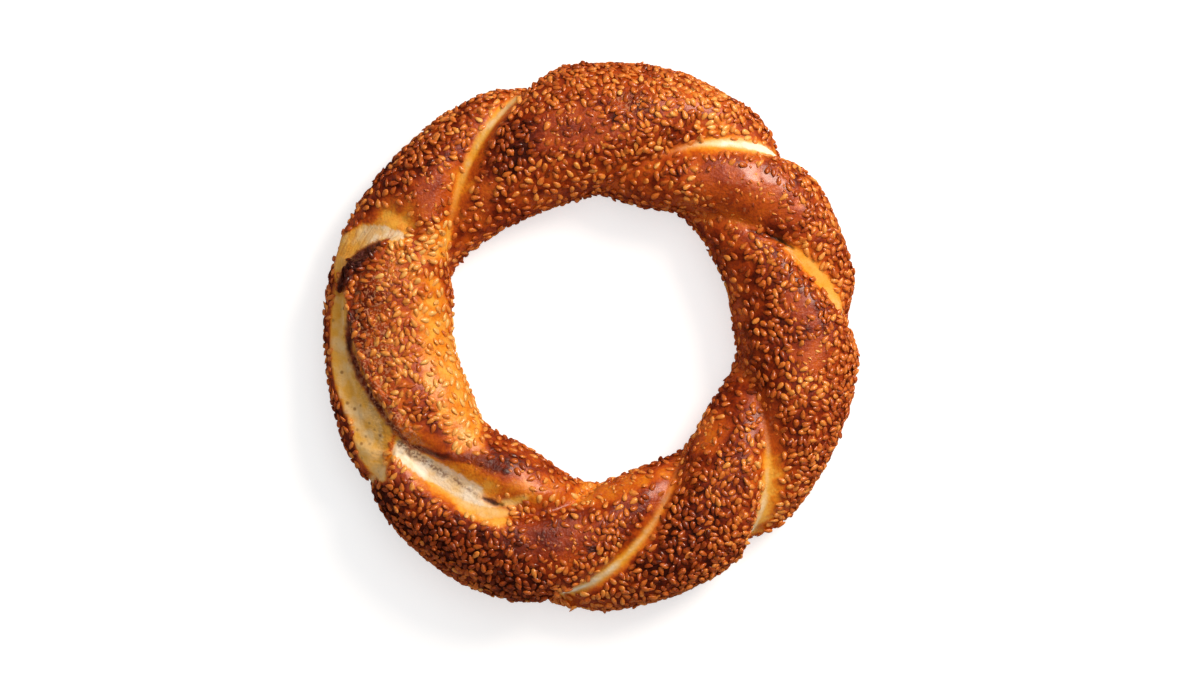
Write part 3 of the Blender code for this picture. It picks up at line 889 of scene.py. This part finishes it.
bm = bmesh.new()
bmesh.ops.create_uvsphere(bm, u_segments=6, v_segments=5, radius=0.5)
bmesh.ops.triangulate(bm, faces=bm.faces)
faces = [[vert.index for vert in face.verts] for face in bm.faces]
seed_faces = np.array(sorted(np.roll(face, -np.argmin(face)).tolist() for face in faces))
ball = np.array([vert.co for vert in bm.verts])
bm.free()
along = ball[:, 2]
narrowing = 1 - 0.75 * along - 0.5 * along**2
wide, thick = ball[:, 0] * SEED_WIDTH * narrowing, ball[:, 1] * SEED_THICKNESS * narrowing
seed_form = np.stack([along * SEED_LENGTH, wide, thick], axis=-1)
print(len(seed_faces), "triangles a seed")

# %% [markdown]
# ## How well the seeds cover the skin
# The dough is rolled in seeds, so they lie close all over it. Torn floors, bald domes and cracks
# have none, and the flaky glaze, the hole's side and the underside have fewer. Of the burnt lip
# only the lower half has any. Chips of hull lie where seeds rubbed off.

# %% Cover
BARE_LIP = 21.0
under = soft_step(-points[:, 2], -6, -0.5)
cover = (1 - soft_step(pale, 0.1, 0.5)) * (1 - bald) * (1 - 0.97 * bare) * (1 - 0.8 * edge)
cover *= (1 - 0.6 * hole_side) * (1 - 0.6 * under) * (1 - 0.85 * flaky)
cover = np.maximum(cover * (1 - lip), lip * (points[:, 1] < BARE_LIP)) * (1 - crack_painted_dark)
cover *= 1 - 0.5 * rim
chipped = np.maximum(0.8 * bald, flaky) * (1 - pale) * (1 - lip)
chipped = chipped * (1 - np.minimum(2 * gold, 1))
print("mean cover:", cover.mean().round(2))

# %% [markdown]
# ## Places for the seeds
# Random places on the skin are tried one after another, more of them where the cover is good.
# A particle system would strew seeds too, but would lay them in each other.

# %% Places tried
TRIES = 70000
LEAST_COVER = 0.12

corners = np.empty(len(crust_mesh.loops), int)
crust_mesh.loops.foreach_get("vertex_index", corners)
corners = corners.reshape(-1, 4)
normals = np.empty(3 * len(points))
crust_mesh.vertices.foreach_get("normal", normals)
normals = normals.reshape(-1, 3)
quads = points[corners]
across, down = quads[:, 2] - quads[:, 0], quads[:, 3] - quads[:, 1]
areas = np.linalg.norm(np.cross(across, down), axis=1) / 2
share = areas * (0.25 + cover[corners].mean(axis=1))
share *= np.maximum(cover, chipped)[corners].max(axis=1) > LEAST_COVER
chosen = rng.choice(len(corners), TRIES, p=share / share.sum())
s, t = rng.random((2, TRIES, 1))


def spread(values):
    """Values of the crust's points, read at the tried places."""
    a, b, c, d = (values[corners[chosen, k]].reshape(TRIES, -1) for k in range(4))
    found = (a * (1 - s) + b * s) * (1 - t) + (d * (1 - s) + c * s) * t
    return found[:, 0] if values.ndim == 1 else found


places, facing, covered = spread(points), spread(normals), spread(cover)
facing /= np.linalg.norm(facing, axis=1, keepdims=True)
browning_and_shade, charring_and_crack_shade = spread(toast), spread(burnt)
sideways = np.cross(facing, [0.31, 0.17, 0.94])
sideways /= np.linalg.norm(sideways, axis=1, keepdims=True)
forward = np.cross(facing, sideways)
print("crust area, cm2:", round(float(areas.sum()) / 100))

# %% [markdown]
# ## Laying the seeds
# Three small discs along a seed's length stand for its body. A seed goes down where its discs
# clear those of the seeds already there, and it may try two directions. Where the cover is thin
# it asks for more room. The discs are narrower than the seed, so neighbours touch and overlap a
# little, as they do under the glaze. A second, thin layer then rides on the first, and the chips
# lie where they fall.

# %% Seeds that clear each other
BODY_DISC = 0.53
RIDER_DISC = 1.25
SPARE_ROOM = 1.1
DISC_PLACES = np.array([-0.85, 0.0, 0.85])
CELL = 3.0
SPINS = 2
RIDER_TRIES = 2600
CHIP_SHARE = 0.28


def lay(tries, disc):
    """Goes through tries and returns those whose bodies clear each other, with their spins."""
    grid, laid = {}, []
    for k in tries:
        if covered[k] < LEAST_COVER:
            continue
        x, y, z = (int(value // CELL) for value in places[k])
        close = [
            body
            for i in (x - 1, x, x + 1)
            for j in (y - 1, y, y + 1)
            for h in (z - 1, z, z + 1)
            for body in grid.get((i, j, h), ())
        ]
        taken = np.array(close).reshape(-1, 4)
        room = disc * (1 + SPARE_ROOM * (1 - covered[k]))
        for attempt in range(SPINS):
            spin = first_spin[k] + attempt * math.pi / SPINS
            axis = math.cos(spin) * sideways[k] + math.sin(spin) * forward[k]
            body = places[k] + DISC_PLACES[:, None] * axis
            gaps = ((taken[:, None, :3] - body) ** 2).sum(axis=2)
            if (gaps > (taken[:, 3:] + room) ** 2).all():
                grid.setdefault((x, y, z), []).extend((*point, room) for point in body)
                laid.append((k, spin))
                break
    return laid


first_spin = rng.random(TRIES) * math.tau
bottom = lay(range(TRIES), BODY_DISC)
proud = (covered > 0.75) & (facing[:, 2] > 0.3)
riders = lay(np.nonzero(proud)[0][:RIDER_TRIES], RIDER_DISC)
chips = np.nonzero(rng.random(TRIES) < CHIP_SHARE * spread(chipped))[0]
layers = bottom, riders, [(k, first_spin[k]) for k in chips]
laid = np.array([k for layer in layers for k, _ in layer])
spins = np.array([spin for layer in layers for _, spin in layer])
layer_of = np.repeat(range(len(layers)), [len(layer) for layer in layers])
print(len(bottom), "seeds,", len(riders), "on top of them and", len(chips), "chips")

# %% [markdown]
# ## Each seed's own turn, size and browning
# No two seeds look the same: each differs a little in lean, size and height. The values in
# threes are for the seeds on the skin, those on top of them and the chips. A seed browned about
# as much as the crust under it, and takes on the painted shade and light there.

# %% Turn, size and toast
RAISED = np.array((0.16, 0.7, 0.03))
LEAN = np.array((0.22, 0.28, 0.3))
SHRUNK = np.array(((1.0, 1.0, 1.0), (1.0, 1.0, 1.0), (0.5, 0.5, 0.3)))
LIGHTER = np.array((0.0, 0.0, 0.1))
TABLE_GAP = 0.02
LEAST_TOAST = 0.05
count = len(laid)
upward = facing[laid] + rng.normal(0, 1, (count, 3)) * LEAN[layer_of, None]
upward /= np.linalg.norm(upward, axis=1, keepdims=True)
axis = np.cos(spins)[:, None] * sideways[laid] + np.sin(spins)[:, None] * forward[laid]
axis -= upward * np.sum(axis * upward, axis=1, keepdims=True)
axis /= np.linalg.norm(axis, axis=1, keepdims=True)
turned = np.stack([axis, np.cross(upward, axis), upward], axis=1)
sizes = np.clip(rng.normal(1, 0.07, (count, 1, 3)), 0.8, 1.2) * SHRUNK[layer_of, None]
height = RAISED[layer_of] + rng.normal(0, 0.08, count)
centres = places[laid] + facing[laid] * height[:, None]
seed_points = np.einsum("npk,nkj->npj", seed_form * sizes, turned) + centres[:, None]
seed_points[..., 2] = np.maximum(seed_points[..., 2], TABLE_GAP)
# A seed takes the crust's browning with its painted shade and light, and the painted shade of
# cracks.
seed_toast_and_shade = LEAST_TOAST + 0.82 * browning_and_shade[laid] + rng.normal(0, 0.12, count)
seed_toast_and_shade = seed_toast_and_shade + 0.55 * charring_and_crack_shade[laid]
seed_toast_and_shade -= LIGHTER[layer_of]
print("mean toast of the seeds:", seed_toast_and_shade.mean().round(2))

# %% [markdown]
# ## Three kinds of seed, and chips
# Under the glaze some seeds stay golden, most turn brown, and the proudest go dark; the painted
# shade and light they take from the crust sort them too. Each kind is one mesh, built from arrays,
# because thousands of objects would be slow. A seed keeps how brown it is, painted shade
# included, and how far each point is from its tip. The chips of hull are the fourth piece.

# %% The seed objects
NAMES = ("sesame_golden", "sesame_brown", "sesame_dark", "sesame_chips")
KIND_BORDERS = (0.42, 0.60)
CHIP_LAYER, CHIP_KIND = 2, 3
kinds = np.where(layer_of == CHIP_LAYER, CHIP_KIND, np.digitize(seed_toast_and_shade, KIND_BORDERS))
seed_objects = []
for number, name in enumerate(NAMES):
    members = np.nonzero(kinds == number)[0]
    shift = np.arange(len(members))[:, None, None] * len(seed_form)
    mesh = bpy.data.meshes.new(name)
    seed_mm = seed_points[members].reshape(-1, 3)
    mesh.from_pydata(seed_mm * MM, [], (seed_faces + shift).reshape(-1, 3))
    mesh.shade_smooth()
    keep(mesh, "toast", np.repeat(seed_toast_and_shade[members], len(seed_form)))
    keep(mesh, "tip", np.tile(along, len(members)))
    seed_objects.append(add_object(name, mesh))
    print(name, len(members), "pieces,", len(mesh.polygons), "triangles")

# %% [markdown]
# ## The seeds' finish
# Sesame seed is a smooth, slightly oily hull with a thin coat of baked molasses over it, so it
# shines more than the crust. Its colour runs from golden to red-brown by how long it toasted, and
# by the painted shade and light it takes from the crust.

# %% Toasted sesame
SEED_COLOURS = (
    (0.0, "#f6b860"), (0.2, "#ee963c"), (0.4, "#d87024"), (0.6, "#b04a12"),
    (0.8, "#802e0c"), (1.0, "#421408"),
)
HULL_GRAIN = 0.0008
HULL_RELIEF = 0.00004
seed_material, tree = blank("toasted_sesame")
place = node(tree, PLACE, output="Object")
grain = node(tree, NOISE, CENTRED, Vector=place, Scale=1 / HULL_GRAIN, Detail=2.0)
brown = node(tree, KEPT, {"attribute_name": "toast"}, "Fac")
toward_tip = node(tree, KEPT, {"attribute_name": "tip"}, "Fac")
brown = node(tree, MATH, TIMES_PLUS, i0=grain, i1=0.17, i2=brown)
brown = node(tree, MATH, TIMES_PLUS, i0=toward_tip, i1=0.17, i2=brown)
colour = node(tree, RAMP, {"stops": SEED_COLOURS}, Fac=brown)
rough = node(tree, MATH, TIMES_PLUS, i0=grain, i1=0.12, i2=0.36)
bump = node(tree, "ShaderNodeBump", Strength=0.3, Distance=HULL_RELIEF, Height=grain)
surface = node(
    tree, SHADER, Base_Color=colour, Roughness=rough, Normal=bump, IOR=1.47,
    Specular_IOR_Level=0.5, Coat_Weight=0.6, Coat_Roughness=0.16,
)
node(tree, "ShaderNodeOutputMaterial", Surface=surface)
for made in seed_objects:
    made.data.materials.append(seed_material)
print(len(tree.nodes), "nodes in the material of", len(seed_objects), "pieces")

# %% [markdown]
# ## The table
# The ring lies on a plain white table. It glows a little, as a light table does, so that it
# stays white while the shade on it stays soft. It is hidden from the crust's gloss, because a
# white floor mirrored in the sides would lie on them like a veil.

# %% Floor
FLOOR_HALF = 3.0
floor_mesh = bpy.data.meshes.new("floor")
bm = bmesh.new()
bmesh.ops.create_grid(bm, x_segments=1, y_segments=1, size=FLOOR_HALF)
bm.to_mesh(floor_mesh)
bm.free()
floor = add_object("floor", floor_mesh)
white, tree = blank("white_table")
surface = node(
    tree, SHADER, Base_Color=linear("#d8d8d8"), Roughness=0.85, Specular_IOR_Level=0.2,
    Emission_Color=linear("#ffffff"), Emission_Strength=0.58,
)
node(tree, "ShaderNodeOutputMaterial", Surface=surface)
floor_mesh.materials.append(white)
floor.visible_glossy = False
print("table, m:", 2 * FLOOR_HALF, "wide")

# %% [markdown]
# ## Light
# One large soft light stands to the upper right, as in the photo. A higher one and the white
# surroundings fill the shade. Only the first shows in the gloss, because the others would turn
# the glaze milky from above.

# %% Lights and surroundings
LIGHTS = (
    ("key", 42, 41, 1.1, 0.5, 10.4, "#fff2e2"),
    ("overhead", 60, 74, 1.3, 1.2, 5.5, "#ffffff"),
)
SURROUND = 0.26
for name, bearing, height, distance, size, power, tint in LIGHTS:
    lamp_data = bpy.data.lights.new(name, "AREA")
    lamp_data.shape = "DISK"
    lamp_data.size = size
    lamp_data.energy = power
    lamp_data.color = linear(tint)[:3]
    lamp = add_object(name, lamp_data)
    lamp.visible_glossy = name == "key"
    a, b = math.radians(bearing), math.radians(height)
    toward = Vector((math.cos(a) * math.cos(b), math.sin(a) * math.cos(b), math.sin(b)))
    aimed = toward.to_track_quat("Z", "Y").to_matrix().to_4x4()
    lamp.matrix_world = Matrix.Translation(toward * distance) @ aimed

world = bpy.data.worlds.new("studio")
world.use_nodes = True
background = world.node_tree.nodes["Background"]
background.inputs["Color"].default_value = linear("#ffffff")
background.inputs["Strength"].default_value = SURROUND
world.cycles_visibility.glossy = False
bpy.context.scene.world = world
bpy.context.scene.view_settings.view_transform = "Standard"
print(len(LIGHTS), "lights, surroundings", SURROUND)

# %% [markdown]
# ## The camera
# The photo was taken from straight above and shows no perspective, so a long lens looks down
# from far away. How far follows from a photo pixel's size on the ring, in millimetres.

# %% Camera
PIXEL = 0.3178
PICTURE_WIDTH = 1200
AIM = (3.04, -0.27)
AIM_LEVEL = 13.0
LENS = 200.0
camera_data = bpy.data.cameras.new("camera")
camera_data.lens = LENS
away = PIXEL * PICTURE_WIDTH * LENS / camera_data.sensor_width + AIM_LEVEL
camera = add_object("camera", camera_data)
camera.location = (AIM[0] * MM, AIM[1] * MM, away * MM)
bpy.context.scene.camera = camera
print("camera above the table, m:", round(away * MM, 3))

# %% [markdown]
# ## Hand over
# Every piece rides on the one body, and the crust and its seeds stand for the imported solid,
# which is hidden.

# %% Ride, replace and finish
for piece in (crust, *seed_objects):
    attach(piece, "root")
    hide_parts("simit")
